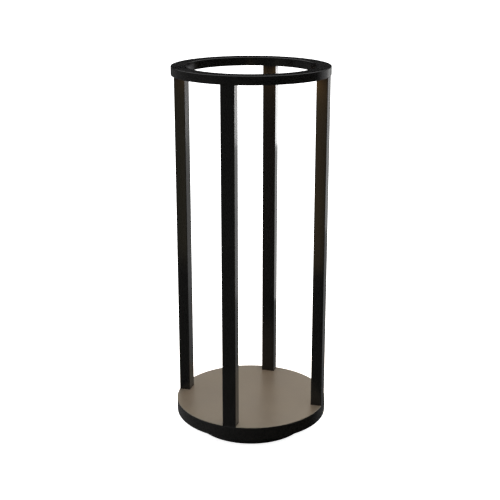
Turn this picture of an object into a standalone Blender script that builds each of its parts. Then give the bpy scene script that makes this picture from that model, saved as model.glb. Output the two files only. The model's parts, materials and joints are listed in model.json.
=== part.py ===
"""Round firewood log rack: a flat ring on four box-section uprights over a plated base.

The origin is on the floor under the middle of the rack, +Z is up and -Y is the front.
All lengths are in metres.
"""

import math

import bpy
from mathutils import Matrix

# ---- overall sizes --------------------------------------------------------------------
OUTER_RADIUS = 0.200        # ring, base hoop, floor plate and the uprights' outer corners
CAGE_HEIGHT = 0.891         # top of the floor plate to the top of the ring

# ---- clearances -----------------------------------------------------------------------
GAP = 0.0003                # between faces that rest on or lie against each other
NOTCH_CLEARANCE = 0.0005    # floor plate notch around an upright
BLOCK_CLEARANCE = 0.0003    # end block inside an upright
ROD_CLEARANCE = 0.0005      # plain holes around a tie rod
SCREW_CLEARANCE = 0.0004    # plain holes around a screw
BALLAST_CLEARANCE = 0.0010  # ballast plate inside the plinth

# ---- top ring, a rolled rectangular tube ------------------------------------------------
RING_WIDTH = 0.0375
RING_HEIGHT = 0.022
RING_WALL = 0.002
RING_EDGE = 0.0012

# ---- uprights, rectangular tube ---------------------------------------------------------
UPRIGHT_WIDTH = 0.035       # along the ring
UPRIGHT_DEPTH = 0.029       # towards the middle of the rack
UPRIGHT_WALL = 0.002
UPRIGHT_EDGE = 0.0015
BLOCK_HEIGHT = 0.016
UPRIGHT_PLACES = {
    "back_right": 45.0,
    "back_left": 135.0,
    "front_left": 225.0,
    "front_right": 315.0,
}

# ---- tie rods and what holds them -------------------------------------------------------
ROD_DIAMETER = 0.008
ROD_END_PROUD = 0.003       # thread that shows below the nut
BOSS_WALL = 0.004
BOSS_TOP_ROOM = 0.004       # free height in the ring above a boss
WASHER_BORDER = 0.004
WASHER_THICKNESS = 0.0016
NUT_WALL = 0.0025
NUT_HEIGHT = 0.0065

# ---- base -------------------------------------------------------------------------------
PLATE_THICKNESS = 0.002
PLATE_EDGE = 0.0006
HOOP_HEIGHT = 0.033
HOOP_WALL = 0.003
HOOP_EDGE = 0.0008
DECK_THICKNESS = 0.004

# ---- plinth, ballast and floor pads -----------------------------------------------------
PLINTH_INSET = 0.055        # how far the plinth stands back from the hoop
PLINTH_SHOWN = 0.0396       # height of plinth that shows below the hoop
PLINTH_WALL = 0.003
PLINTH_FLANGE = 0.030
PLINTH_EDGE = 0.0010
BALLAST_THICKNESS = 0.012
PAD_RADIUS = 0.012
PAD_THICKNESS = 0.003
PAD_EDGE = 0.0006
PAD_PLACES = (45.0, 135.0, 225.0, 315.0)

# ---- button-head screws of the base -----------------------------------------------------
SCREW_DIAMETER = 0.006
SCREW_HEAD_BORDER = 0.0023
SCREW_HEAD_HEIGHT = 0.0022
SCREW_SOCKET_RADIUS = 0.0020
SCREW_SOCKET_DEPTH = 0.0012
SCREW_END_SPARE = 0.0005    # how far a screw's end stays below the face above it
SCREW_PLACES = {"front": 270.0, "right": 0.0, "back": 90.0, "left": 180.0}

# ---- how finely round pieces are divided ------------------------------------------------
LARGE_STEPS = 96
PLINTH_STEPS = 64
HOLLOW_STEPS = 48
SMALL_STEPS = 16
EDGE_STEPS = 2
CUT_OVERRUN = 0.002         # how far a cutter passes the wall it cuts

# ---- heights of the stack, from the floor up --------------------------------------------
plinth_bottom = PAD_THICKNESS + GAP
hoop_bottom = plinth_bottom + PLINTH_SHOWN
hoop_top = hoop_bottom + HOOP_HEIGHT
deck_top = hoop_top
deck_bottom = deck_top - DECK_THICKNESS
plinth_top = deck_bottom - GAP
plate_bottom = deck_top + GAP
plate_top = plate_bottom + PLATE_THICKNESS
ring_top = plate_top + CAGE_HEIGHT
ring_bottom = ring_top - RING_HEIGHT
upright_bottom = deck_top + GAP
upright_top = ring_bottom - GAP
boss_bottom = ring_bottom + RING_WALL + GAP
boss_top = ring_top - RING_WALL - BOSS_TOP_ROOM
washer_top = deck_bottom - GAP
washer_bottom = washer_top - WASHER_THICKNESS
nut_top = washer_bottom - GAP
nut_bottom = nut_top - NUT_HEIGHT
ballast_bottom = plinth_bottom + PLINTH_WALL + GAP
ballast_top = ballast_bottom + BALLAST_THICKNESS

# ---- radii ------------------------------------------------------------------------------
hoop_inner_radius = OUTER_RADIUS - HOOP_WALL
upright_face_radius = math.sqrt(OUTER_RADIUS ** 2 - (UPRIGHT_WIDTH / 2) ** 2)
upright_radius = upright_face_radius - UPRIGHT_DEPTH / 2
rod_radius = ROD_DIAMETER / 2
rod_hole_radius = rod_radius + ROD_CLEARANCE
screw_radius = SCREW_DIAMETER / 2
screw_hole_radius = screw_radius + SCREW_CLEARANCE
plinth_radius = OUTER_RADIUS - PLINTH_INSET
plinth_inner_radius = plinth_radius - PLINTH_WALL
flange_inner_radius = plinth_inner_radius - PLINTH_FLANGE
flange_middle_radius = plinth_inner_radius - PLINTH_FLANGE / 2

# ---- scene ------------------------------------------------------------------------------
for old in list(bpy.data.objects):
    bpy.data.objects.remove(old, do_unlink=True)

parts = bpy.data.collections.new("firewood_log_rack")
cutters = bpy.data.collections.new("cutters")
bpy.context.scene.collection.children.link(parts)
bpy.context.scene.collection.children.link(cutters)


def finish(name, colour, roughness, metallic):
    """A Principled material with one colour, given as linear red, green and blue."""
    made = bpy.data.materials.new(name)
    made.use_nodes = True
    shader = made.node_tree.nodes["Principled BSDF"]
    shader.inputs["Base Color"].default_value = (*colour, 1.0)
    shader.inputs["Roughness"].default_value = roughness
    shader.inputs["Metallic"].default_value = metallic
    return made


black_coat = finish("black_powder_coat", (0.004, 0.004, 0.0035), 0.30, 0.0)
taupe_coat = finish("taupe_powder_coat", (0.105, 0.088, 0.054), 0.32, 0.0)
zinc_steel = finish("zinc_plated_steel", (0.450, 0.460, 0.480), 0.35, 1.0)
bare_steel = finish("bare_mild_steel", (0.250, 0.245, 0.240), 0.50, 1.0)
pad_rubber = finish("black_rubber", (0.015, 0.015, 0.015), 0.80, 0.0)


def place(obj, radius, angle, height=0.0):
    """Stand an object at a distance and angle from the rack's axis, facing outwards."""
    turn = math.radians(angle)
    obj.location = (radius * math.cos(turn), radius * math.sin(turn), height)
    obj.rotation_euler = (0.0, 0.0, turn)


def settle(obj, collection, material):
    """Link an object to its collection, with its material or as a cutter that doesn't show."""
    collection.objects.link(obj)
    if material is not None:
        obj.data.materials.append(material)
    if collection is cutters:
        obj.hide_render = True
        obj.display_type = "WIRE"


def new_object(name, data, collection, material=None):
    obj = bpy.data.objects.new(name, data)
    settle(obj, collection, material)
    return obj


def corner(centre_x, centre_z, radius, start):
    """Points of a quarter circle that runs clockwise from the start angle."""
    shares = [step / EDGE_STEPS for step in range(EDGE_STEPS + 1)]
    angles = [math.radians(start - 90.0 * share) for share in shares]
    return [(centre_x + radius * math.cos(a), centre_z + radius * math.sin(a)) for a in angles]


def turned(name, profile, steps, collection=parts, material=None):
    """Turn a profile of (radius, height) points round the Z axis.

    The profile runs down its outer side. It is closed unless it starts and ends on the axis.
    """
    mesh = bpy.data.meshes.new(name)
    edges = [(i, i + 1) for i in range(len(profile) - 1)]
    if profile[0][0] > 0.0:
        edges.append((len(profile) - 1, 0))
    mesh.from_pydata([(r, 0.0, z) for r, z in profile], edges, [])
    obj = new_object(name, mesh, collection, material)
    screw = obj.modifiers.new("turn", "SCREW")
    screw.steps = steps
    screw.render_steps = steps
    screw.use_merge_vertices = True
    screw.merge_threshold = 0.00002
    screw.use_smooth_shade = False
    return obj


def take_primitive(name, collection, material):
    """Name the primitive that was just added and move it to its own collection."""
    obj = bpy.context.object
    obj.name = name
    obj.data.name = name
    for owner in list(obj.users_collection):
        owner.objects.unlink(obj)
    settle(obj, collection, material)
    return obj


def block(name, size, collection=parts, material=None):
    """A box centred on its own origin."""
    bpy.ops.mesh.primitive_cube_add(size=1.0)
    obj = take_primitive(name, collection, material)
    obj.data.transform(Matrix.Diagonal((*size, 1.0)))
    return obj


def cylinder(name, radius, bottom, top, collection=parts, material=None, sides=SMALL_STEPS):
    """An upright cylinder or prism between two heights, on the Z axis of its own object."""
    bpy.ops.mesh.primitive_cylinder_add(radius=radius, depth=top - bottom, vertices=sides)
    obj = take_primitive(name, collection, material)
    obj.data.transform(Matrix.Translation((0.0, 0.0, (top + bottom) / 2)))
    return obj


def cut(obj, cutter):
    boolean = obj.modifiers.new("cut_" + cutter.name, "BOOLEAN")
    boolean.operation = "DIFFERENCE"
    boolean.solver = "EXACT"
    boolean.object = cutter


def round_cutter(name, radius, bottom, top, distance, angle):
    """A cutter for a round hole at a distance and angle from the rack's axis."""
    cutter = cylinder(name, radius, bottom - CUT_OVERRUN, top + CUT_OVERRUN, cutters)
    place(cutter, distance, angle)
    return cutter


# ---- top ring ---------------------------------------------------------------------------
def make_top_ring():
    outer = OUTER_RADIUS
    inner = OUTER_RADIUS - RING_WIDTH
    edge = RING_EDGE
    profile = (
        corner(outer - edge, ring_top - edge, edge, 90.0)
        + corner(outer - edge, ring_bottom + edge, edge, 0.0)
        + corner(inner + edge, ring_bottom + edge, edge, 270.0)
        + corner(inner + edge, ring_top - edge, edge, 180.0)
    )
    ring = turned("top_ring", profile, LARGE_STEPS, material=black_coat)
    hollow_profile = [
        (outer - RING_WALL, ring_top - RING_WALL),
        (outer - RING_WALL, ring_bottom + RING_WALL),
        (inner + RING_WALL, ring_bottom + RING_WALL),
        (inner + RING_WALL, ring_top - RING_WALL),
    ]
    cut(ring, turned("ring_hollow", hollow_profile, HOLLOW_STEPS, cutters))
    for place_name, angle in UPRIGHT_PLACES.items():
        cut(ring, round_cutter(
            "ring_hole_" + place_name, rod_hole_radius,
            ring_bottom, boss_bottom, upright_radius, angle))


# ---- uprights and their fixings ---------------------------------------------------------
def outline(curve, points):
    spline = curve.splines.new("POLY")
    spline.points.add(len(points) - 1)
    for point, (x, y) in zip(spline.points, points):
        point.co = (x, y, 0.0, 1.0)
    spline.use_cyclic_u = True


def upright_tube(name):
    """A length of rectangular tube, its depth along X and its width along Y."""
    curve = bpy.data.curves.new(name, "CURVE")
    curve.dimensions = "2D"
    curve.fill_mode = "BOTH"
    curve.extrude = (upright_top - upright_bottom) / 2
    half_x = UPRIGHT_DEPTH / 2
    half_y = UPRIGHT_WIDTH / 2
    edge = UPRIGHT_EDGE
    outline(
        curve,
        corner(half_x - edge, half_y - edge, edge, 90.0)
        + corner(half_x - edge, edge - half_y, edge, 0.0)
        + corner(edge - half_x, edge - half_y, edge, 270.0)
        + corner(edge - half_x, half_y - edge, edge, 180.0),
    )
    bore_x = half_x - UPRIGHT_WALL
    bore_y = half_y - UPRIGHT_WALL
    outline(curve, [(bore_x, bore_y), (bore_x, -bore_y), (-bore_x, -bore_y), (-bore_x, bore_y)])
    return new_object(name, curve, parts, black_coat)


def end_block(name, angle, bottom):
    """A plug for the end of an upright, drilled for the tie rod."""
    size = (
        UPRIGHT_DEPTH - 2 * (UPRIGHT_WALL + BLOCK_CLEARANCE),
        UPRIGHT_WIDTH - 2 * (UPRIGHT_WALL + BLOCK_CLEARANCE),
        BLOCK_HEIGHT,
    )
    plug = block(name, size, material=bare_steel)
    place(plug, upright_radius, angle, bottom + BLOCK_HEIGHT / 2)
    top = bottom + BLOCK_HEIGHT
    cut(plug, round_cutter(name + "_hole", rod_hole_radius, bottom, top, upright_radius, angle))


def sleeve_profile(inner, outer, bottom, top):
    return [(outer, top), (outer, bottom), (inner, bottom), (inner, top)]


def make_upright(place_name, angle):
    tube = upright_tube("upright_" + place_name)
    place(tube, upright_radius, angle, (upright_top + upright_bottom) / 2)

    end_block("foot_block_" + place_name, angle, upright_bottom)
    end_block("head_block_" + place_name, angle, upright_top - BLOCK_HEIGHT)

    rod_bottom = nut_bottom - ROD_END_PROUD
    rod_top = boss_top - ROD_END_PROUD
    rod = cylinder("tie_rod_" + place_name, rod_radius, rod_bottom, rod_top, material=zinc_steel)
    place(rod, upright_radius, angle)

    bore = rod_radius + GAP
    boss_profile = sleeve_profile(bore, bore + BOSS_WALL, boss_bottom, boss_top)
    boss = turned("ring_boss_" + place_name, boss_profile, SMALL_STEPS, material=bare_steel)
    place(boss, upright_radius, angle)

    washer_bore = rod_hole_radius
    washer_profile = sleeve_profile(
        washer_bore, washer_bore + WASHER_BORDER, washer_bottom, washer_top)
    washer = turned("washer_" + place_name, washer_profile, SMALL_STEPS, material=zinc_steel)
    place(washer, upright_radius, angle)

    corner_radius = (bore + NUT_WALL) / math.cos(math.radians(30.0))
    nut = cylinder(
        "nut_" + place_name, corner_radius, nut_bottom, nut_top, material=zinc_steel, sides=6)
    place(nut, upright_radius, angle)
    nut_hole = round_cutter(
        "nut_hole_" + place_name, bore, nut_bottom, nut_top, upright_radius, angle)
    cut(nut, nut_hole)


# ---- base -------------------------------------------------------------------------------
def make_floor_plate():
    edge = PLATE_EDGE
    profile = (
        [(0.0, plate_top)]
        + corner(OUTER_RADIUS - edge, plate_top - edge, edge, 90.0)
        + [(OUTER_RADIUS, plate_bottom), (0.0, plate_bottom)]
    )
    plate = turned("floor_plate", profile, LARGE_STEPS, material=taupe_coat)
    notch_depth = UPRIGHT_DEPTH + 2 * NOTCH_CLEARANCE
    notch_width = UPRIGHT_WIDTH + 2 * NOTCH_CLEARANCE
    inner_face = upright_face_radius - UPRIGHT_DEPTH - NOTCH_CLEARANCE
    for place_name, angle in UPRIGHT_PLACES.items():
        size = (notch_depth + CUT_OVERRUN, notch_width, PLATE_THICKNESS + 2 * CUT_OVERRUN)
        notch = block("notch_" + place_name, size, cutters)
        place(notch, inner_face + size[0] / 2, angle, (plate_top + plate_bottom) / 2)
        cut(plate, notch)


def make_base_hoop():
    edge = HOOP_EDGE
    profile = (
        corner(OUTER_RADIUS - edge, hoop_top - edge, edge, 90.0)
        + corner(OUTER_RADIUS - edge, hoop_bottom + edge, edge, 0.0)
        + [(hoop_inner_radius, hoop_bottom), (hoop_inner_radius, hoop_top)]
    )
    turned("base_hoop", profile, LARGE_STEPS, material=black_coat)


def make_base_deck():
    deck = cylinder(
        "base_deck", hoop_inner_radius - GAP, deck_bottom, deck_top,
        material=black_coat, sides=LARGE_STEPS)
    for place_name, angle in UPRIGHT_PLACES.items():
        cut(deck, round_cutter(
            "deck_rod_hole_" + place_name, rod_hole_radius,
            deck_bottom, deck_top, upright_radius, angle))
    for place_name, angle in SCREW_PLACES.items():
        cut(deck, round_cutter(
            "deck_screw_hole_" + place_name, screw_radius + GAP,
            deck_bottom, deck_top, flange_middle_radius, angle))


# ---- plinth, ballast, screws and pads ---------------------------------------------------
def make_plinth():
    edge = PLINTH_EDGE
    profile = (
        [(plinth_radius, plinth_top)]
        + corner(plinth_radius - edge, plinth_bottom + edge, edge, 0.0)
        + [
            (flange_inner_radius, plinth_bottom),
            (flange_inner_radius, plinth_bottom + PLINTH_WALL),
            (plinth_inner_radius, plinth_bottom + PLINTH_WALL),
            (plinth_inner_radius, plinth_top - PLINTH_WALL),
            (flange_inner_radius, plinth_top - PLINTH_WALL),
            (flange_inner_radius, plinth_top),
        ]
    )
    plinth = turned("plinth", profile, PLINTH_STEPS, material=black_coat)
    flanges = {
        "top": (plinth_top - PLINTH_WALL, plinth_top),
        "bottom": (plinth_bottom, plinth_bottom + PLINTH_WALL),
    }
    for flange_name, (bottom, top) in flanges.items():
        for place_name, angle in SCREW_PLACES.items():
            cut(plinth, round_cutter(
                "flange_hole_" + flange_name + "_" + place_name, screw_hole_radius,
                bottom, top, flange_middle_radius, angle))


def make_ballast_plate():
    plate = cylinder(
        "ballast_plate", plinth_inner_radius - BALLAST_CLEARANCE, ballast_bottom, ballast_top,
        material=bare_steel, sides=PLINTH_STEPS)
    for place_name, angle in SCREW_PLACES.items():
        cut(plate, round_cutter(
            "ballast_hole_" + place_name, screw_radius + GAP,
            ballast_bottom, ballast_top, flange_middle_radius, angle))


def button_screw(name, seat, tip, angle):
    """A screw driven upwards: its head's upper face is at seat and its end at tip."""
    head_radius = screw_radius + SCREW_HEAD_BORDER
    head_bottom = seat - SCREW_HEAD_HEIGHT
    profile = [
        (0.0, tip),
        (screw_radius, tip),
        (screw_radius, seat),
        (head_radius, seat),
        (SCREW_SOCKET_RADIUS + SCREW_HEAD_BORDER / 2, head_bottom),
        (SCREW_SOCKET_RADIUS, head_bottom),
        (SCREW_SOCKET_RADIUS, head_bottom + SCREW_SOCKET_DEPTH),
        (0.0, head_bottom + SCREW_SOCKET_DEPTH),
    ]
    screw = turned(name, profile, SMALL_STEPS, material=zinc_steel)
    place(screw, flange_middle_radius, angle)


def make_base_screws():
    plinth_screw_seat = plinth_top - PLINTH_WALL - GAP
    ballast_screw_seat = plinth_bottom - GAP
    for place_name, angle in SCREW_PLACES.items():
        button_screw(
            "plinth_screw_" + place_name, plinth_screw_seat, deck_top - SCREW_END_SPARE, angle)
        button_screw(
            "ballast_screw_" + place_name, ballast_screw_seat, ballast_top - SCREW_END_SPARE,
            angle)


def make_floor_pads():
    for number, angle in enumerate(PAD_PLACES, start=1):
        profile = (
            [(0.0, PAD_THICKNESS), (PAD_RADIUS, PAD_THICKNESS)]
            + corner(PAD_RADIUS - PAD_EDGE, PAD_EDGE, PAD_EDGE, 0.0)
            + [(0.0, 0.0)]
        )
        pad = turned("floor_pad_" + str(number), profile, SMALL_STEPS, material=pad_rubber)
        place(pad, flange_middle_radius, angle)


make_top_ring()
for upright_name, upright_angle in UPRIGHT_PLACES.items():
    make_upright(upright_name, upright_angle)
make_floor_plate()
make_base_hoop()
make_base_deck()
make_plinth()
make_ballast_plate()
make_base_screws()
make_floor_pads()
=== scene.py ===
"""Looks of the round firewood log rack: its finely made pieces and finishes, and the studio.

Lengths are in metres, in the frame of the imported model.
"""

import json
import math

import bmesh
import bpy
from mathutils import Matrix, Vector


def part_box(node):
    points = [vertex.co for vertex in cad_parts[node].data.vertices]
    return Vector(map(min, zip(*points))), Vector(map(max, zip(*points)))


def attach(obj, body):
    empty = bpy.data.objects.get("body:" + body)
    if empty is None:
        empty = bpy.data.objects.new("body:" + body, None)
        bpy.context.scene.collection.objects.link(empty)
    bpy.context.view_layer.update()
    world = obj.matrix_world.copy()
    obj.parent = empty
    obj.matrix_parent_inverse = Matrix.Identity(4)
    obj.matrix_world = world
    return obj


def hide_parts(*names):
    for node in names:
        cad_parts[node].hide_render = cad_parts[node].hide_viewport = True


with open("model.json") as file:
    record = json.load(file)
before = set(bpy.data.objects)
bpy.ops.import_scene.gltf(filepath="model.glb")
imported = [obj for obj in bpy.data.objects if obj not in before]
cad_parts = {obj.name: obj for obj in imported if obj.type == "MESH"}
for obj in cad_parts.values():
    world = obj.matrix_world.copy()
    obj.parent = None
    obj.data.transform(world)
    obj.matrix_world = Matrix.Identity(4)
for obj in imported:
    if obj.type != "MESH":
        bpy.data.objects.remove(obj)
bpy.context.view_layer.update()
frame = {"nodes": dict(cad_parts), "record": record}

# ---- sizes the boxes of the frame don't give ---------------------------------------------
RING_WIDTH = 0.0375
RING_WALL = 0.002
RING_EDGE = 0.0012
UPRIGHT_WIDTH = 0.035
UPRIGHT_DEPTH = 0.029
UPRIGHT_WALL = 0.002
UPRIGHT_EDGE = 0.0015
ROD_HOLE_RADIUS = 0.0045
NOTCH_CLEARANCE = 0.0005
PLATE_EDGE = 0.0006
HOOP_WALL = 0.003
HOOP_EDGE = 0.0008
PLINTH_WALL = 0.003
PLINTH_FLANGE = 0.030
PLINTH_EDGE = 0.0010
SCREW_HOLE_RADIUS = 0.0034

ROD_RADIUS = 0.004
THREAD_PITCH = 0.00125
THREAD_DEPTH = 0.0006
THREAD_LENGTHS = (0.016, 0.012)  # at the rod's lower and upper end
THREAD_ROWS = 6.0               # rows of points in one pitch
NUT_FLAT = 0.0068               # middle of the nut to a flat
NUT_BORE = 0.0043
NUT_CHAMFER = 0.0008
NUT_FACE_SHARE = 0.97           # the round face inside the chamfer, as a share of a flat
WASHER_EDGE = 0.0003
SCREW_RADIUS = 0.003
SCREW_HEAD_HEIGHT = 0.0022
SCREW_HEAD_RADIUS = 0.0053
SCREW_HEAD_ANGLES = (0, 12, 24, 36, 48, 58)  # up the button's curve, in degrees
SCREW_END_CHAMFER = 0.0005
SOCKET_FLAT = 0.0017
SOCKET_DEPTH = 0.0012
SOCKET_EDGE = 0.0003
PAD_EDGE = 0.0006
PAD_GROOVE_DEPTH = 0.0004
PAD_GROOVE_PLACE = 0.6          # share of the pad's radius
PAD_GROOVE_HALF_TOP = 0.0006
PAD_GROOVE_HALF_MOUTH = 0.001

ROUND_STEPS = 256
SMALL_STEPS = 48
EDGE_STEPS = 6
HOLE_STEPS = 32
NUT_CHAMFER_STEPS = 5
MERGE_DISTANCE = 0.000005
CUT_OVERRUN = 0.002
DRILL_TURN = 0.05               # keeps a hole's corners off the seams of the wall it cuts
SMOOTH_BELOW = math.radians(35.0)
FLAT_WEIGHT = 100               # the large faces decide the shading of the edges beside them

UPRIGHT_PLACES = {
    "back_right": 45.0,
    "back_left": 135.0,
    "front_left": 225.0,
    "front_right": 315.0,
}
SCREW_ANGLES = (0.0, 90.0, 180.0, 270.0)

# ---- sizes read from the frame -----------------------------------------------------------
ring_low, ring_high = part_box("top_ring")
plate_low, plate_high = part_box("floor_plate")
hoop_low, hoop_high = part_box("base_hoop")
plinth_low, plinth_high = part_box("plinth")
upright_low, upright_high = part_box("upright_back_right")
outer_radius = ring_high.x
upright_face = math.sqrt(outer_radius ** 2 - (UPRIGHT_WIDTH / 2) ** 2)
upright_radius = upright_face - UPRIGHT_DEPTH / 2


# ---- finishes ----------------------------------------------------------------------------
COAT_DRIFT_MM = 90.0            # how far apart the coat is thicker and thinner
COAT_SPECK_SHARE = 0.35         # how much of the change of tone is fine speckle
COAT_RANGE = (0.15, 0.85)       # noise values that reach the end tones and end roughnesses
PEEL_MM = 3.0                   # orange peel, from crest to crest
PEEL_HEIGHT_MM = 0.02
METAL_TONE_RANGE = (0.35, 0.65)  # noise values that reach a bare metal's end tones
METAL_GLOSS_RANGE = (0.3, 0.7)  # and its end roughnesses
BLOOM_MM = 4.0                  # patches of bloom on rubber
BLOOM_HEIGHT_MM = 0.05


def linear(code):
    """An sRGB hex colour as linear red, green, blue and alpha."""
    values = [int(code[i:i + 2], 16) / 255.0 for i in (1, 3, 5)]
    bent = [v / 12.92 if v <= 0.04045 else ((v + 0.055) / 1.055) ** 2.4 for v in values]
    return (*bent, 1.0)


def add(tree, kind, inputs=None, **settings):
    """Add a node, give it its settings, and fill or link its inputs."""
    node = tree.nodes.new(kind)
    for name, value in settings.items():
        setattr(node, name, value)
    for name, value in (inputs or {}).items():
        if isinstance(value, bpy.types.NodeSocket):
            tree.links.new(value, node.inputs[name])
        else:
            node.inputs[name].default_value = value
    return node


def per_metre(millimetres):
    """Noise scale whose features are about this size."""
    return 1000.0 / millimetres


def coated_steel(name, tones, roughness, specular, tint):
    """Steel with a baked polyester powder coat, which flows out to a faint orange peel.

    The eye gets an even satin skin: slow, slight changes of tone, a fine ripple in the
    highlights, and a gloss that varies a little where the coat is thicker.
    """
    material = bpy.data.materials.new(name)
    material.use_nodes = True
    tree = material.node_tree
    shader = tree.nodes["Principled BSDF"]
    shader.inputs["Metallic"].default_value = 0.0
    shader.inputs["IOR"].default_value = 1.5
    shader.inputs["Specular IOR Level"].default_value = specular
    shader.inputs["Specular Tint"].default_value = linear(tint)
    place = add(tree, "ShaderNodeTexCoord").outputs["Object"]
    drift = add(tree, "ShaderNodeTexNoise", {
        "Vector": place, "Scale": per_metre(COAT_DRIFT_MM), "Detail": 3.0, "Roughness": 0.5})
    speck = add(tree, "ShaderNodeTexNoise", {
        "Vector": place, "Scale": per_metre(PEEL_MM / 2.0), "Detail": 2.0, "Roughness": 0.6})
    both = add(tree, "ShaderNodeMix", {
        "Factor": COAT_SPECK_SHARE, "A": drift.outputs["Fac"], "B": speck.outputs["Fac"]})
    ramp = add(tree, "ShaderNodeValToRGB", {"Fac": both.outputs["Result"]})
    dark, light = ramp.color_ramp.elements
    dark.position, light.position = COAT_RANGE
    dark.color = linear(tones[0])
    light.color = linear(tones[1])
    tree.links.new(ramp.outputs["Color"], shader.inputs["Base Color"])
    gloss = add(tree, "ShaderNodeMapRange", {
        "Value": drift.outputs["Fac"], "From Min": COAT_RANGE[0], "From Max": COAT_RANGE[1],
        "To Min": roughness[0], "To Max": roughness[1]})
    tree.links.new(gloss.outputs["Result"], shader.inputs["Roughness"])
    peel = add(tree, "ShaderNodeTexNoise", {
        "Vector": place, "Scale": per_metre(PEEL_MM), "Detail": 2.0, "Roughness": 0.4})
    bump = add(tree, "ShaderNodeBump", {
        "Height": peel.outputs["Fac"], "Strength": 1.0, "Distance": PEEL_HEIGHT_MM / 1000.0})
    tree.links.new(bump.outputs["Normal"], shader.inputs["Normal"])
    return material


def plain_metal(name, tones, roughness, grain_mm, grain_height_mm):
    """Bare or plated steel, whose skin of crystals or scale gives it a fine mottle."""
    material = bpy.data.materials.new(name)
    material.use_nodes = True
    tree = material.node_tree
    shader = tree.nodes["Principled BSDF"]
    shader.inputs["Metallic"].default_value = 1.0
    place = add(tree, "ShaderNodeTexCoord").outputs["Object"]
    mottle = add(tree, "ShaderNodeTexNoise", {
        "Vector": place, "Scale": per_metre(grain_mm), "Detail": 4.0, "Roughness": 0.6})
    ramp = add(tree, "ShaderNodeValToRGB", {"Fac": mottle.outputs["Fac"]})
    dark, light = ramp.color_ramp.elements
    dark.position, light.position = METAL_TONE_RANGE
    dark.color = linear(tones[0])
    light.color = linear(tones[1])
    tree.links.new(ramp.outputs["Color"], shader.inputs["Base Color"])
    gloss = add(tree, "ShaderNodeMapRange", {
        "Value": mottle.outputs["Fac"],
        "From Min": METAL_GLOSS_RANGE[0], "From Max": METAL_GLOSS_RANGE[1],
        "To Min": roughness[0], "To Max": roughness[1]})
    tree.links.new(gloss.outputs["Result"], shader.inputs["Roughness"])
    bump = add(tree, "ShaderNodeBump", {
        "Height": mottle.outputs["Fac"], "Strength": 1.0, "Distance": grain_height_mm / 1000.0})
    tree.links.new(bump.outputs["Normal"], shader.inputs["Normal"])
    return material


def moulded_rubber(name, tones, roughness):
    """Rubber pressed in a mould: matt, nearly black, with a dusty bloom in soft patches."""
    material = bpy.data.materials.new(name)
    material.use_nodes = True
    tree = material.node_tree
    shader = tree.nodes["Principled BSDF"]
    shader.inputs["Roughness"].default_value = roughness
    place = add(tree, "ShaderNodeTexCoord").outputs["Object"]
    bloom = add(tree, "ShaderNodeTexNoise", {
        "Vector": place, "Scale": per_metre(BLOOM_MM), "Detail": 5.0, "Roughness": 0.6})
    ramp = add(tree, "ShaderNodeValToRGB", {"Fac": bloom.outputs["Fac"]})
    dark, light = ramp.color_ramp.elements
    dark.color = linear(tones[0])
    light.color = linear(tones[1])
    tree.links.new(ramp.outputs["Color"], shader.inputs["Base Color"])
    bump = add(tree, "ShaderNodeBump", {
        "Height": bloom.outputs["Fac"], "Strength": 1.0, "Distance": BLOOM_HEIGHT_MM / 1000.0})
    tree.links.new(bump.outputs["Normal"], shader.inputs["Normal"])
    return material


# Black polyester powder, sprayed on the steel and baked: deep and satin, so that a lamp
# draws a long soft streak on it and the rest stays nearly black.
black_powder_coat = coated_steel(
    "black_polyester_powder_coated_steel", ("#050504", "#0a0a09"), (0.17, 0.26),
    specular=0.5, tint="#ffffff")
# The same powder in a warm grey on the sheet plate, a little less smooth: it mirrors the
# uprights faintly, and the bright surround in a blurred sheen.
taupe_powder_coat = coated_steel(
    "taupe_polyester_powder_coated_steel", ("#54504a", "#615d54"), (0.28, 0.36),
    specular=0.70, tint="#f8f0d2")
# Zinc, plated on steel from a bath: pale, slightly blue, with soft broad highlights. Its
# crystals are finer than this, and are drawn coarser so that they show close by.
zinc_plate = plain_metal(
    "zinc_plated_steel", ("#a3a6a8", "#b9bcbf"), (0.28, 0.42), 1.5, 0.005)
# Mild steel as it leaves the hot rolls: dark grey, dull, and mottled by its thin scale.
rolled_steel = plain_metal(
    "hot_rolled_mild_steel", ("#4a4a4b", "#66666a"), (0.45, 0.62), 6.0, 0.02)
# Nitrile rubber, pressed hot in a mould: matt and soft-looking, with no clear highlight.
nitrile_rubber = moulded_rubber("moulded_nitrile_rubber", ("#141414", "#242423"), 0.8)


# ---- piece making ------------------------------------------------------------------------
def quarter(centre_x, centre_z, radius, start):
    """Points of a quarter circle that runs clockwise from the start angle."""
    angles = [math.radians(start - 90.0 * step / EDGE_STEPS) for step in range(EDGE_STEPS + 1)]
    return [(centre_x + radius * math.cos(a), centre_z + radius * math.sin(a)) for a in angles]


def new_piece(name, mesh):
    piece = bpy.data.objects.new(name, mesh)
    bpy.context.scene.collection.objects.link(piece)
    return piece


def turned(name, profile, steps):
    """A solid turned round the Z axis from a closed profile, or one that ends on the axis."""
    form = bmesh.new()
    points = [form.verts.new((r, 0.0, z)) for r, z in profile]
    for first, second in zip(points, points[1:]):
        form.edges.new((first, second))
    if profile[0][0] > 0.0:
        form.edges.new((points[-1], points[0]))
    bmesh.ops.spin(
        form, geom=form.verts[:] + form.edges[:], cent=(0.0, 0.0, 0.0), axis=(0.0, 0.0, 1.0),
        angle=2.0 * math.pi, steps=steps, use_merge=True)
    bmesh.ops.remove_doubles(form, verts=form.verts, dist=MERGE_DISTANCE)
    bmesh.ops.recalc_face_normals(form, faces=form.faces)
    mesh = bpy.data.meshes.new(name)
    form.to_mesh(mesh)
    form.free()
    return new_piece(name, mesh)


def put(piece, radius, angle, height=0.0):
    turn = math.radians(angle)
    piece.matrix_world = (
        Matrix.Rotation(turn, 4, "Z") @ Matrix.Translation((radius, 0.0, height)))
    return piece


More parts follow.
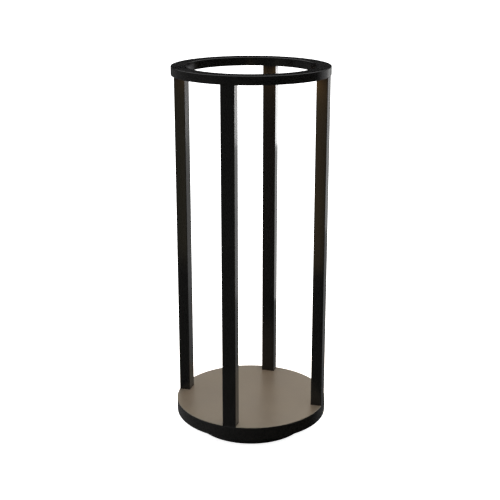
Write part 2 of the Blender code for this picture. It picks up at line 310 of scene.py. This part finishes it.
def drill(radius, bottom, top, distance, angle):
    """A closed round cutter, which stands at a distance and angle from the axis."""
    form = bmesh.new()
    bmesh.ops.create_cone(
        form, cap_ends=True, segments=HOLE_STEPS, radius1=radius, radius2=radius,
        depth=top - bottom + 2 * CUT_OVERRUN, matrix=Matrix.Rotation(DRILL_TURN, 4, "Z"))
    mesh = bpy.data.meshes.new("drill")
    form.to_mesh(mesh)
    form.free()
    return put(new_piece("drill", mesh), distance, angle, (top + bottom) / 2)


def box_cutter(size, distance, angle, height):
    form = bmesh.new()
    bmesh.ops.create_cube(form, size=1.0, matrix=Matrix.Diagonal((*size, 1.0)))
    mesh = bpy.data.meshes.new("box_cutter")
    form.to_mesh(mesh)
    form.free()
    return put(new_piece("box_cutter", mesh), distance, angle, height)


def carve(piece, cutters):
    """Cut the cutters out of a piece, make the result its mesh, and remove the cutters."""
    for cutter in cutters:
        boolean = piece.modifiers.new("carve", "BOOLEAN")
        boolean.operation = "DIFFERENCE"
        boolean.solver = "EXACT"
        boolean.object = cutter
    bpy.context.view_layer.update()
    graph = bpy.context.evaluated_depsgraph_get()
    carved = bpy.data.meshes.new_from_object(piece.evaluated_get(graph))
    piece.modifiers.clear()
    piece.data = carved
    for cutter in cutters:
        bpy.data.objects.remove(cutter, do_unlink=True)


def finish_piece(piece, material, nodes):
    """Smooth the round faces, keep the flats flat, and stand the piece in for its CAD nodes."""
    mesh = piece.data
    mesh.materials.clear()
    mesh.materials.append(material)
    mesh.shade_smooth()
    mesh.set_sharp_from_angle(angle=SMOOTH_BELOW)
    flats = piece.modifiers.new("flats", "WEIGHTED_NORMAL")
    flats.mode = "FACE_AREA"
    flats.weight = FLAT_WEIGHT
    flats.keep_sharp = True
    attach(piece, "root")
    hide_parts(*nodes)


# ---- top ring, rolled from rectangular tube ----------------------------------------------
def make_ring():
    top = ring_high.z
    bottom = ring_low.z
    inner = outer_radius - RING_WIDTH
    edge = RING_EDGE
    profile = (
        quarter(outer_radius - edge, top - edge, edge, 90.0)
        + quarter(outer_radius - edge, bottom + edge, edge, 0.0)
        + quarter(inner + edge, bottom + edge, edge, 270.0)
        + quarter(inner + edge, top - edge, edge, 180.0)
    )
    ring = turned("rolled_top_ring", profile, ROUND_STEPS)
    hollow = turned("ring_hollow", [
        (outer_radius - RING_WALL, top - RING_WALL),
        (outer_radius - RING_WALL, bottom + RING_WALL),
        (inner + RING_WALL, bottom + RING_WALL),
        (inner + RING_WALL, top - RING_WALL),
    ], ROUND_STEPS // 2)
    holes = [
        drill(ROD_HOLE_RADIUS, bottom, bottom + RING_WALL, upright_radius, angle)
        for angle in UPRIGHT_PLACES.values()
    ]
    carve(ring, [hollow] + holes)
    finish_piece(ring, black_powder_coat, ["top_ring"])


# ---- uprights ----------------------------------------------------------------------------
def add_outline(curve, points):
    spline = curve.splines.new("POLY")
    spline.points.add(len(points) - 1)
    for point, (x, y) in zip(spline.points, points):
        point.co = (x, y, 0.0, 1.0)
    spline.use_cyclic_u = True


def make_upright(place_name, angle):
    half_x = UPRIGHT_DEPTH / 2
    half_y = UPRIGHT_WIDTH / 2
    edge = UPRIGHT_EDGE
    bore_x = half_x - UPRIGHT_WALL
    bore_y = half_y - UPRIGHT_WALL
    curve = bpy.data.curves.new("upright_section", "CURVE")
    curve.dimensions = "2D"
    curve.fill_mode = "BOTH"
    curve.extrude = (upright_high.z - upright_low.z) / 2
    add_outline(curve, (
        quarter(half_x - edge, half_y - edge, edge, 90.0)
        + quarter(half_x - edge, edge - half_y, edge, 0.0)
        + quarter(edge - half_x, edge - half_y, edge, 270.0)
        + quarter(edge - half_x, half_y - edge, edge, 180.0)))
    add_outline(curve, [
        (bore_x, bore_y), (bore_x, -bore_y), (-bore_x, -bore_y), (-bore_x, bore_y)])
    section = new_piece("upright_section", curve)
    bpy.context.view_layer.update()
    graph = bpy.context.evaluated_depsgraph_get()
    mesh = bpy.data.meshes.new_from_object(section.evaluated_get(graph))
    bpy.data.objects.remove(section, do_unlink=True)
    form = bmesh.new()
    form.from_mesh(mesh)
    bmesh.ops.remove_doubles(form, verts=form.verts, dist=MERGE_DISTANCE)
    bmesh.ops.recalc_face_normals(form, faces=form.faces)
    form.to_mesh(mesh)
    form.free()
    upright = new_piece("box_section_upright_" + place_name, mesh)
    put(upright, upright_radius, angle, (upright_high.z + upright_low.z) / 2)
    finish_piece(upright, black_powder_coat, ["upright_" + place_name])


# ---- floor plate, hoop and plinth --------------------------------------------------------
def make_floor_plate():
    top = plate_high.z
    bottom = plate_low.z
    edge = PLATE_EDGE
    profile = (
        [(0.0, top)]
        + quarter(outer_radius - edge, top - edge, edge, 90.0)
        + [(outer_radius, bottom), (0.0, bottom)]
    )
    plate = turned("sheet_floor_plate", profile, ROUND_STEPS)
    inner_face = upright_face - UPRIGHT_DEPTH - NOTCH_CLEARANCE
    notch = (
        UPRIGHT_DEPTH + 2 * NOTCH_CLEARANCE + CUT_OVERRUN,
        UPRIGHT_WIDTH + 2 * NOTCH_CLEARANCE,
        top - bottom + 2 * CUT_OVERRUN,
    )
    carve(plate, [
        box_cutter(notch, inner_face + notch[0] / 2, angle, (top + bottom) / 2)
        for angle in UPRIGHT_PLACES.values()
    ])
    finish_piece(plate, taupe_powder_coat, ["floor_plate"])


def make_hoop():
    top = hoop_high.z
    bottom = hoop_low.z
    inner = outer_radius - HOOP_WALL
    edge = HOOP_EDGE
    profile = (
        quarter(outer_radius - edge, top - edge, edge, 90.0)
        + quarter(outer_radius - edge, bottom + edge, edge, 0.0)
        + quarter(inner + edge, bottom + edge, edge, 270.0)
        + quarter(inner + edge, top - edge, edge, 180.0)
    )
    hoop = turned("rolled_base_hoop", profile, ROUND_STEPS)
    finish_piece(hoop, black_powder_coat, ["base_hoop"])


def make_plinth():
    top = plinth_high.z
    bottom = plinth_low.z
    outer = plinth_high.x
    inner = outer - PLINTH_WALL
    lip = inner - PLINTH_FLANGE
    edge = PLINTH_EDGE
    profile = (
        quarter(outer - edge, top - edge, edge, 90.0)
        + quarter(outer - edge, bottom + edge, edge, 0.0)
        + [
            (lip, bottom), (lip, bottom + PLINTH_WALL), (inner, bottom + PLINTH_WALL),
            (inner, top - PLINTH_WALL), (lip, top - PLINTH_WALL), (lip, top),
        ]
    )
    plinth = turned("spun_plinth", profile, ROUND_STEPS)
    flanges = ((bottom, bottom + PLINTH_WALL), (top - PLINTH_WALL, top))
    carve(plinth, [
        drill(SCREW_HOLE_RADIUS, low, high, inner - PLINTH_FLANGE / 2, angle)
        for low, high in flanges
        for angle in SCREW_ANGLES
    ])
    finish_piece(plinth, black_powder_coat, ["plinth"])


# ---- hardware under the deck and below the plinth ----------------------------------------
def middle(node):
    """The point on the floor under a node's middle, and its lowest and highest z."""
    low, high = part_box(node)
    return Vector(((low.x + high.x) / 2, (low.y + high.y) / 2, 0.0)), low.z, high.z


def hexagon(flat, angle):
    """Distance from the middle of a hexagon to its outline, at an angle."""
    sixth = math.pi / 3.0
    return flat / math.cos((angle + sixth / 2.0) % sixth - sixth / 2.0)


def swept(name, profile_at, closed):
    """A solid whose profile of (radius, height) may change as it goes round."""
    form = bmesh.new()
    columns = []
    for step in range(SMALL_STEPS):
        angle = 2.0 * math.pi * step / SMALL_STEPS
        columns.append([
            form.verts.new((r * math.cos(angle), r * math.sin(angle), z))
            for r, z in profile_at(angle)])
    for here, there in zip(columns, columns[1:] + columns[:1]):
        rows = list(range(len(here)))
        for row, below in zip(rows, rows[1:] + (rows[:1] if closed else [])):
            form.faces.new((here[row], there[row], there[below], here[below]))
    bmesh.ops.remove_doubles(form, verts=form.verts, dist=MERGE_DISTANCE)
    bmesh.ops.recalc_face_normals(form, faces=form.faces)
    mesh = bpy.data.meshes.new(name)
    form.to_mesh(mesh)
    form.free()
    return new_piece(name, mesh)


def make_nut(place_name):
    """A hexagon nut, chamfered at thirty degrees on both faces."""
    foot, bottom, top = middle("nut_" + place_name)
    drops = [
        NUT_CHAMFER * (step / NUT_CHAMFER_STEPS) for step in range(NUT_CHAMFER_STEPS + 1)]

    def profile(angle):
        face = NUT_FACE_SHARE * NUT_FLAT
        outside = [
            (min(hexagon(NUT_FLAT, angle), face + drop * math.sqrt(3.0)), drop) for drop in drops]
        return (
            [(r, bottom + drop) for r, drop in outside]
            + [(r, top - drop) for r, drop in reversed(outside)]
            + [(NUT_BORE, top), (NUT_BORE, bottom)])

    nut = swept("hexagon_nut_" + place_name, profile, True)
    nut.matrix_world = Matrix.Translation(foot)
    finish_piece(nut, zinc_plate, ["nut_" + place_name])


def make_washer(place_name):
    """A plain washer with a small bevel on its outer rim."""
    foot, bottom, top = middle("washer_" + place_name)
    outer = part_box("washer_" + place_name)[1].x - foot.x
    edge = WASHER_EDGE
    washer = turned("plain_washer_" + place_name, [
        (outer - edge, top), (outer, top - edge), (outer, bottom + edge), (outer - edge, bottom),
        (ROD_HOLE_RADIUS, bottom), (ROD_HOLE_RADIUS, top)], SMALL_STEPS)
    washer.matrix_world = Matrix.Translation(foot)
    finish_piece(washer, zinc_plate, ["washer_" + place_name])


def make_tie_rod(place_name):
    """A drawn rod with a rolled M8 thread at each end."""
    foot, bottom, top = middle("tie_rod_" + place_name)
    lower, upper = THREAD_LENGTHS
    pitch = THREAD_PITCH
    lower_rows = int(lower / pitch * THREAD_ROWS)
    upper_rows = int(upper / pitch * THREAD_ROWS)
    heights = [bottom + pitch * row / THREAD_ROWS for row in range(lower_rows + 1)]
    heights += [top - pitch * row / THREAD_ROWS for row in range(upper_rows, -1, -1)]

    def profile(angle):
        wall = []
        for height in heights:
            turn = (height - bottom) / pitch - angle / (2.0 * math.pi)
            flank = abs(2.0 * (turn % 1.0) - 1.0)
            end = min(height - bottom, top - height)
            threaded = height < bottom + lower - pitch or height > top - upper + pitch
            crest = min(ROD_RADIUS, ROD_RADIUS - THREAD_DEPTH + end)
            cut_in = THREAD_DEPTH * flank if threaded and end > 0 else 0.0
            wall.append((crest - cut_in, height))
        return [(0.0, bottom)] + wall + [(0.0, top)]

    rod = swept("threaded_tie_rod_" + place_name, profile, False)
    rod.matrix_world = Matrix.Translation(foot)
    finish_piece(rod, zinc_plate, ["tie_rod_" + place_name])


def make_screw(node):
    """A button-head screw with a hexagon socket, driven upwards."""
    foot, bottom, tip = middle(node)
    seat = bottom + SCREW_HEAD_HEIGHT
    head = [
        (SCREW_HEAD_RADIUS * math.cos(math.radians(rise)),
         seat - SCREW_HEAD_HEIGHT * math.sin(math.radians(rise)))
        for rise in SCREW_HEAD_ANGLES]

    def profile(angle):
        socket = hexagon(SOCKET_FLAT, angle)
        return (
            [(0.0, tip), (SCREW_RADIUS - SCREW_END_CHAMFER, tip),
             (SCREW_RADIUS, tip - SCREW_END_CHAMFER), (SCREW_RADIUS, seat)]
            + head
            + [(socket + SOCKET_EDGE, bottom), (socket, bottom + SOCKET_EDGE),
               (socket, bottom + SOCKET_DEPTH), (0.0, bottom + SOCKET_DEPTH)])

    screw = swept("button_" + node, profile, False)
    screw.matrix_world = Matrix.Translation(foot)
    finish_piece(screw, zinc_plate, [node])


def make_pad(node):
    """A moulded rubber pad with a rounded rim and a ring groove in its sole."""
    foot, bottom, top = middle(node)
    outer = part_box(node)[1].x - foot.x
    edge = PAD_EDGE
    groove = PAD_GROOVE_PLACE * outer
    sole = bottom + PAD_GROOVE_DEPTH
    pad = turned("moulded_" + node, (
        [(0.0, top), (outer, top)]
        + quarter(outer - edge, bottom + edge, edge, 0.0)
        + [(groove + PAD_GROOVE_HALF_MOUTH, bottom), (groove + PAD_GROOVE_HALF_TOP, sole),
           (groove - PAD_GROOVE_HALF_TOP, sole), (groove - PAD_GROOVE_HALF_MOUTH, bottom),
           (0.0, bottom)]),
        SMALL_STEPS)
    pad.matrix_world = Matrix.Translation(foot)
    finish_piece(pad, nitrile_rubber, [node])


def make_hardware():
    for place_name in UPRIGHT_PLACES:
        make_nut(place_name)
        make_washer(place_name)
        make_tie_rod(place_name)
    for side in ("front", "right", "back", "left"):
        make_screw("plinth_screw_" + side)
        make_screw("ballast_screw_" + side)
    for number in range(1, 5):
        make_pad("floor_pad_" + str(number))


def coat_cad_nodes():
    """Give every CAD node its real finish, for those that no finer piece replaces."""
    finishes = {
        "black_coat": black_powder_coat,
        "taupe_coat": taupe_powder_coat,
        "zinc_steel": zinc_plate,
        "bare_steel": rolled_steel,
        "pad_rubber": nitrile_rubber,
    }
    for entry in frame["record"]["subparts"]:
        node = frame["nodes"][entry["node"]]
        node.data.materials.clear()
        node.data.materials.append(finishes[entry["material_slot"]])


# ---- studio ------------------------------------------------------------------------------
FLOOR_REACH = 40.0
FLOOR_GLOW = 0.9                # lit from below as well, which keeps the shadow faint
FLOOR_TONE = "#fcfcfc"
FLOOR_ROUGHNESS = 0.9
BACKDROP_RADIUS = 36.0
BACKDROP_STEPS = (48, 24)       # round the dome and from pole to pole
CAMERA_SIDE = -28.67            # degrees from the front, negative to the rack's left
CAMERA_DISTANCE = 2.656
CAMERA_HEIGHT = 1.306
CAMERA_TILT = 17.09             # degrees below level
CAMERA_TURN = 0.06              # degrees to the left, so that the rack stands right of centre
CAMERA_LENS = 76.6              # millimetres
CAMERA_SENSOR = 36.0            # millimetres

SURROUND_STRENGTH = 1.0
SKY_LEVELS = (                  # sine of the elevation, level
    (0.33, 0.0), (0.39, 0.60), (0.44, 1.0), (0.60, 1.35), (1.0, 1.6))
RIGHT_CARD_HEADING = 40.0       # degrees to the right of straight away from the camera
# Across a card the values are the cosine of the angle from its heading, and down it the
# sine of the elevation, each with its level.
RIGHT_CARD_ACROSS = ((0.0, 0.0), (0.86, 0.03), (0.97, 1.0))
RIGHT_CARD_DOWN = (
    (-0.42, 0.05), (-0.38, 0.22), (-0.30, 0.28), (-0.20, 0.32), (-0.13, 0.42),
    (-0.04, 0.8), (0.0, 0.0))
LEFT_CARD_HEADING = -80.0
LEFT_CARD_ACROSS = ((-0.8, 0.01), (-0.3, 0.04), (0.4, 0.06), (0.8, 0.15))
LEFT_CARD_DOWN = ((-0.50, 1.0), (-0.04, 0.9), (0.0, 0.0))
STRIP_HEADING = 32.7
STRIP_DISTANCE = 0.55
STRIP_WIDTH = 0.12
STRIPS = (                      # shift to the right, bottom, top, power, lights the ring
    (0.0, 0.16, 0.90, 0.21, False),
    (0.0, 0.66, 0.90, 0.34, False),
    (0.20, 0.42, 1.06, 0.115, True))
GLOW_LAMPS = 12                 # at every 30 degrees, so that none faces an upright
GLOW_RADIUS = 0.157
GLOW_DROP = 0.003
GLOW_SIZE = 0.006
GLOW_SLOPE = 0.6                # how far they aim outward for each metre down
GLOW_POWER = 0.48
GLOW_LEAN = 0.4                 # how much stronger they are on the right than on average
GLOW_COLOUR = "#ffc583"
WARM_CARD_DISTANCE = 0.30
WARM_CARD_SIZE = (0.07, 0.52)
WARM_CARD_HEIGHT = 0.62
WARM_CARDS = (                  # upright, power, colour
    ("front_right", 0.065, "#ffdba0"), ("back_left", 0.036, "#fff0c0"))


def make_floor():
    """A matt white floor, which no gloss mirrors."""
    form = bmesh.new()
    bmesh.ops.create_grid(form, x_segments=1, y_segments=1, size=FLOOR_REACH)
    mesh = bpy.data.meshes.new("studio_floor")
    form.to_mesh(mesh)
    form.free()
    floor = new_piece("studio_floor", mesh)
    material = bpy.data.materials.new("pale_painted_studio_floor")
    material.use_nodes = True
    tree = material.node_tree
    shader = tree.nodes["Principled BSDF"]
    shader.inputs["Roughness"].default_value = FLOOR_ROUGHNESS
    shader.inputs["Specular IOR Level"].default_value = 0.0
    shader.inputs["Base Color"].default_value = linear(FLOOR_TONE)
    shader.inputs["Emission Color"].default_value = linear("#ffffff")
    shader.inputs["Emission Strength"].default_value = FLOOR_GLOW
    mesh.materials.append(material)
    floor.visible_glossy = False


def make_backdrop():
    """A white dome beyond the floor, which only the camera sees."""
    form = bmesh.new()
    bmesh.ops.create_uvsphere(
        form, u_segments=BACKDROP_STEPS[0], v_segments=BACKDROP_STEPS[1],
        radius=BACKDROP_RADIUS)
    mesh = bpy.data.meshes.new("studio_backdrop")
    form.to_mesh(mesh)
    form.free()
    backdrop = new_piece("studio_backdrop", mesh)
    material = bpy.data.materials.new("white_studio_backdrop")
    material.use_nodes = True
    tree = material.node_tree
    tree.nodes.clear()
    white = add(tree, "ShaderNodeEmission", {"Color": linear("#ffffff"), "Strength": 1.0})
    add(tree, "ShaderNodeOutputMaterial", {"Surface": white.outputs["Emission"]})
    mesh.materials.append(material)
    backdrop.visible_diffuse = False
    backdrop.visible_glossy = False
    backdrop.visible_transmission = False
    backdrop.visible_shadow = False


def make_camera():
    data = bpy.data.cameras.new("camera")
    data.lens = CAMERA_LENS
    data.sensor_width = CAMERA_SENSOR
    camera = bpy.data.objects.new("camera", data)
    bpy.context.scene.collection.objects.link(camera)
    side = math.radians(CAMERA_SIDE)
    camera.location = (
        CAMERA_DISTANCE * math.sin(side), -CAMERA_DISTANCE * math.cos(side), CAMERA_HEIGHT)
    camera.rotation_euler = (
        math.radians(90.0 - CAMERA_TILT), 0.0, side + math.radians(CAMERA_TURN))
    bpy.context.scene.camera = camera


def heading(angle):
    """Unit direction at this many degrees to the right of straight away from the camera."""
    turn = math.radians(90.0 - angle + CAMERA_SIDE)
    return Vector((math.cos(turn), math.sin(turn), 0.0))


def levels(tree, value, stops):
    """A ramp of grey levels over a value from -1 to 1; stops are (value, level)."""
    share = add(tree, "ShaderNodeMapRange", {"Value": value, "From Min": -1.0, "From Max": 1.0})
    ramp = add(tree, "ShaderNodeValToRGB", {"Fac": share.outputs["Result"]})
    points = ramp.color_ramp.elements
    while len(points) < len(stops):
        points.new(0.5)
    for point, (place, _) in zip(points, stops):
        point.position = (place + 1.0) / 2.0
    for point, (_, level) in zip(points, stops):
        point.color = (level, level, level, 1.0)
    return ramp.outputs["Color"]


def make_surround():
    """A bright sky overhead, and pale cards below eye level on the right and the left."""
    world = bpy.data.worlds.new("soft_studio_surround")
    bpy.context.scene.world = world
    world.use_nodes = True
    world.cycles.sampling_method = "NONE"
    tree = world.node_tree
    tree.nodes.clear()
    way = add(tree, "ShaderNodeTexCoord").outputs["Generated"]
    height = add(tree, "ShaderNodeSeparateXYZ", {"Vector": way}).outputs["Z"]
    sky = levels(tree, height, SKY_LEVELS)
    level = add(tree, "ShaderNodeVectorMath", {0: way, 1: (1.0, 1.0, 0.0)}, operation="MULTIPLY")
    level = add(tree, "ShaderNodeVectorMath", {0: level.outputs["Vector"]}, operation="NORMALIZE")
    total = sky
    cards = (
        (RIGHT_CARD_HEADING, RIGHT_CARD_ACROSS, RIGHT_CARD_DOWN),
        (LEFT_CARD_HEADING, LEFT_CARD_ACROSS, LEFT_CARD_DOWN),
    )
    for card_heading, card_across, card_down in cards:
        toward = add(tree, "ShaderNodeVectorMath", {
            0: level.outputs["Vector"], 1: heading(card_heading)}, operation="DOT_PRODUCT")
        across = levels(tree, toward.outputs["Value"], card_across)
        down = levels(tree, height, card_down)
        card = add(tree, "ShaderNodeVectorMath", {0: across, 1: down}, operation="MULTIPLY")
        both = add(tree, "ShaderNodeVectorMath", {
            0: total, 1: card.outputs["Vector"]}, operation="ADD")
        total = both.outputs["Vector"]
    glow = add(tree, "ShaderNodeBackground", {
        "Color": total, "Strength": SURROUND_STRENGTH})
    add(tree, "ShaderNodeOutputWorld", {"Surface": glow.outputs["Background"]})


def make_lamp(name, size, place, target, power, colour):
    data = bpy.data.lights.new(name, "AREA")
    data.shape = "RECTANGLE"
    data.size, data.size_y = size
    data.energy = power
    data.color = linear(colour)[:3]
    lamp = bpy.data.objects.new(name, data)
    bpy.context.scene.collection.objects.link(lamp)
    lamp.location = place
    lamp.rotation_euler = (Vector(target) - Vector(place)).to_track_quat("-Z", "Y").to_euler()
    lamp.visible_camera = False
    return lamp


def keep_off(lamp, piece):
    """Flag a lamp off one piece, as a studio flag does, and let it light all the others."""
    flagged = bpy.data.collections.new("flagged_off")
    flagged.objects.link(piece)
    flagged.collection_objects[0].light_linking.link_state = "EXCLUDE"
    lamp.light_linking.receiver_collection = flagged


def make_strip_lights():
    """Tall strip softboxes behind the rack on its right, brightest near the ring."""
    for shift, bottom, top, power, lights_ring in STRIPS:
        side = heading(STRIP_HEADING + 90.0) * shift
        side.z = (bottom + top) / 2
        place = heading(STRIP_HEADING) * STRIP_DISTANCE + side
        lamp = make_lamp(
            "strip_softbox", (STRIP_WIDTH, top - bottom), place, side, power, "#ffffff")
        if not lights_ring:
            keep_off(lamp, bpy.data.objects["rolled_top_ring"])


def make_warm_cards():
    """Warm cards whose gloss shows on the flanks of the left and right uprights."""
    turn = math.radians(UPRIGHT_PLACES["front_left"])
    flank = Vector((math.cos(turn), math.sin(turn), 0.0))
    away = heading(0.0)
    mirrored = away - 2.0 * away.dot(flank) * flank
    for place_name, power, colour in WARM_CARDS:
        turn = math.radians(UPRIGHT_PLACES[place_name])
        foot = Vector((math.cos(turn), math.sin(turn), 0.0)) * upright_radius
        target = foot + flank * UPRIGHT_WIDTH / 2
        place = target + mirrored * WARM_CARD_DISTANCE
        place.z = WARM_CARD_HEIGHT
        target.z = WARM_CARD_HEIGHT
        make_lamp("warm_card", WARM_CARD_SIZE, place, target, power, colour)


def make_warm_glow():
    """Small warm lamps in a loop just below the ring, which tint the tops of the uprights."""
    for step in range(GLOW_LAMPS):
        turn = 2.0 * math.pi * step / GLOW_LAMPS
        place = Vector((math.cos(turn), math.sin(turn), 0.0)) * GLOW_RADIUS
        share = 1.0 + GLOW_LEAN * heading(90.0).dot(place) / GLOW_RADIUS
        place.z = ring_low.z - GLOW_DROP
        outward = GLOW_SLOPE / GLOW_RADIUS
        target = place + Vector((place.x * outward, place.y * outward, -1.0))
        lamp = make_lamp(
            "warm_glow", (GLOW_SIZE, GLOW_SIZE), place, target,
            GLOW_POWER * share, GLOW_COLOUR)
        lamp.visible_glossy = False


def make_light():
    make_surround()
    make_strip_lights()
    make_warm_cards()
    make_warm_glow()


make_ring()
for upright_place, upright_angle in UPRIGHT_PLACES.items():
    make_upright(upright_place, upright_angle)
make_floor_plate()
make_hoop()
make_plinth()
make_hardware()
coat_cad_nodes()
make_floor()
make_backdrop()
make_camera()
make_light()
bpy.context.scene.view_settings.view_transform = "Standard"
